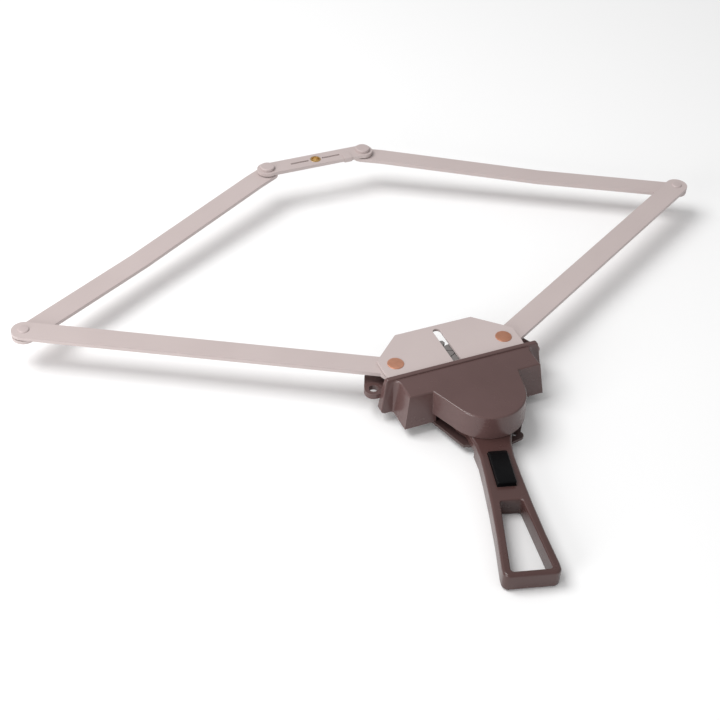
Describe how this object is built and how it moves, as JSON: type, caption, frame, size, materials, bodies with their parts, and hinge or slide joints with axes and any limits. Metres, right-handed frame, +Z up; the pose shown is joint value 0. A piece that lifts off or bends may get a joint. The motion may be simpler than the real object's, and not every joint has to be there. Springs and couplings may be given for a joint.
{
  "type": "window operator",
  "caption": "Lever-driven dual-arm window operator: a cast housing with a swinging lever drives geared folding arms that push a sash bracket straight out.",
  "frame": {"origin": "midway between the two mounting holes of the ears, on the ears' underside, where they sit on the sill", "axes": "+X along the flange from one ear to the other, +Y out of the room towards the sash bracket, +Z up"},
  "size_m": [0.6112, 0.4981, 0.0399],
  "materials": {
    "arm_paint": "satin baked enamel",
    "case_paint": "satin baked enamel on a die casting",
    "base_zinc": "dull dark plating",
    "plated_steel": "zinc plated, dull",
    "gear_steel": "machined, lightly oiled",
    "spring_steel": "oil tempered",
    "copper_rivet": "copper plated, burnished",
    "painted_rivet": "satin baked enamel",
    "bushing_brass": "plain brass",
    "bearing_plastic": "natural acetal",
    "button_plastic": "fine matt moulding"
  },
  "bodies": {
    "housing": {"operator_housing": "case_paint", "base_plate": "base_zinc", "base_spacers": "plated_steel", "housing_screws": "plated_steel", "plate_screws": "plated_steel", "gear_cover_plate": "arm_paint", "gear_backing_plate": "plated_steel", "rear_spacers": "plated_steel", "left_pivot_rivet": "copper_rivet", "right_pivot_rivet": "copper_rivet", "left_upper_washer": "plated_steel", "left_lower_washer": "plated_steel", "right_upper_washer": "plated_steel", "right_lower_washer": "plated_steel", "idler_pin": "plated_steel", "lower_bushing": "bushing_brass", "upper_bushing": "bushing_brass", "thrust_washer": "bearing_plastic"},
    "left_arm": {"left_drive_arm": "arm_paint", "gear_segment": "gear_steel", "segment_rivets": "plated_steel", "left_elbow_rivet": "painted_rivet", "left_elbow_washer": "plated_steel"},
    "right_arm": {"right_drive_arm": "arm_paint", "right_elbow_rivet": "painted_rivet", "right_elbow_washer": "plated_steel"},
    "left_link": {"left_link_arm": "arm_paint"},
    "right_link": {"right_link_arm": "arm_paint"},
    "bracket": {"sash_bracket": "arm_paint", "bracket_bushing": "bushing_brass", "bracket_clip": "arm_paint", "left_bracket_rivet": "painted_rivet", "right_bracket_rivet": "painted_rivet", "left_bracket_washer": "plated_steel", "right_bracket_washer": "plated_steel"},
    "lever": {"lever_handle": "case_paint", "pivot_shaft": "gear_steel", "drive_pinion": "gear_steel", "shaft_collar": "plated_steel", "pawl_pin": "plated_steel", "lower_retaining_clip": "spring_steel", "upper_retaining_clip": "spring_steel", "button_spring": "spring_steel"},
    "idler": {"idler_gear": "gear_steel"},
    "button": {"release_button": "button_plastic"},
    "pawl": {"lock_pawl": "gear_steel"}
  },
  "joints": [
    {"name": "left_arm_pivot", "type": "hinge", "parent": "housing", "child": "left_arm", "pos_m": [-0.046, 0.0082, 0.0115], "axis": [0, 0, 1], "range_deg": [-11.6, 24]},
    {"name": "right_arm_pivot", "type": "hinge", "parent": "housing", "child": "right_arm", "pos_m": [0.046, 0.0082, 0.0115], "axis": [0, 0, 1], "range_deg": [-24.05, 11.65]},
    {"name": "left_elbow", "type": "hinge", "parent": "left_arm", "child": "left_link", "pos_m": [-0.29614, 0.14686, 0.0076], "axis": [0, 0, 1], "range_deg": [-48.05, 23.25]},
    {"name": "right_elbow", "type": "hinge", "parent": "right_arm", "child": "right_link", "pos_m": [0.29614, 0.14686, 0.0076], "axis": [0, 0, 1], "range_deg": [-23.25, 48.05]},
    {"name": "left_bracket_pivot", "type": "hinge", "parent": "left_link", "child": "bracket", "pos_m": [-0.046, 0.28551, 0.0177], "axis": [0, 0, 1], "range_deg": [-11.65, 24.05]},
    {"name": "lever_turn", "type": "hinge", "parent": "housing", "child": "lever", "pos_m": [0.0042, -0.044, -0.006], "axis": [0, 0, 1], "range_deg": [-27.89, 57.65]},
    {"name": "idler_turn", "type": "hinge", "parent": "housing", "child": "idler", "pos_m": [0.01141, -0.00644, 0.0078], "axis": [0, 0, 1], "range_deg": [-37.21, 18.01]},
    {"name": "button_press", "type": "slide", "parent": "lever", "child": "button", "axis": [0, 0, -1], "range_m": [0, 0.002], "stiffness_N_per_m": 900, "springref_m": -0.001, "deforming": ["button_spring"]},
    {"name": "pawl_rock", "type": "hinge", "parent": "lever", "child": "pawl", "pos_m": [-0.00719, -0.0865, -0.009], "axis": [0.9659, -0.2588, 0], "range_deg": [-0.05, 7.25]}
  ],
  "couplings": [
    {"joint": "right_arm_pivot", "follows": "left_arm_pivot", "ratio": -1},
    {"joint": "left_elbow", "follows": "left_arm_pivot", "ratio": -2},
    {"joint": "right_elbow", "follows": "left_arm_pivot", "ratio": 2},
    {"joint": "left_bracket_pivot", "follows": "left_arm_pivot", "ratio": 1},
    {"joint": "lever_turn", "follows": "left_arm_pivot", "ratio": 2.4},
    {"joint": "idler_turn", "follows": "left_arm_pivot", "ratio": -1.5484},
    {"joint": "pawl_rock", "follows": "button_press", "rad_per_m": 62.5}
  ]
}
